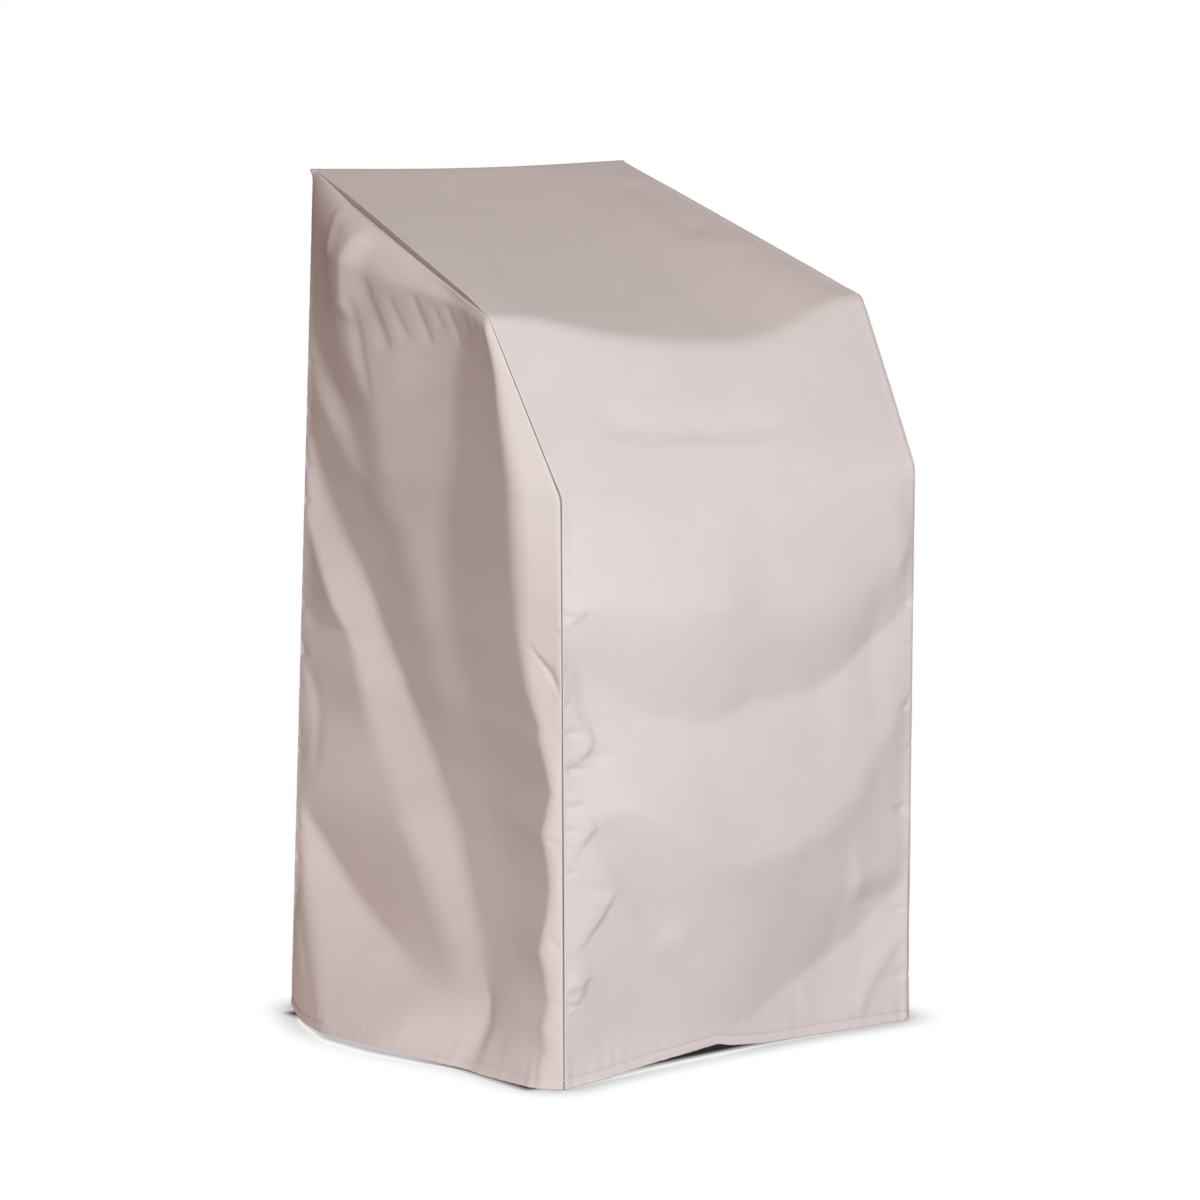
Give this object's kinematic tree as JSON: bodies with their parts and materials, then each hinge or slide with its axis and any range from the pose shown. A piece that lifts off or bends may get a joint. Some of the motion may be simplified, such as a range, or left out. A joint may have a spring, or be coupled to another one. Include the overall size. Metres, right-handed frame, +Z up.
{
  "type": "stacking chair cover",
  "caption": "Fitted cloth cover for a stack of garden chairs: tall, open below, with a sloping top, a slanted shoulder at the front, side seams and a stitched hem.",
  "frame": {"origin": "on the floor, under the middle of the cover's box", "axes": "+Z up; -Y out of the cover's front, the side with the slanted shoulder; +X to the right of a person who looks at the front"},
  "size_m": [0.7916, 0.664, 1.2047],
  "materials": {
    "cover_cloth": "fine plain-woven coated polyester in light taupe, with a soft sheen"
  },
  "bodies": {
    "root": {"centre_strip": "cover_cloth", "side_panel_left": "cover_cloth", "side_panel_right": "cover_cloth"}
  },
  "joints": []
}
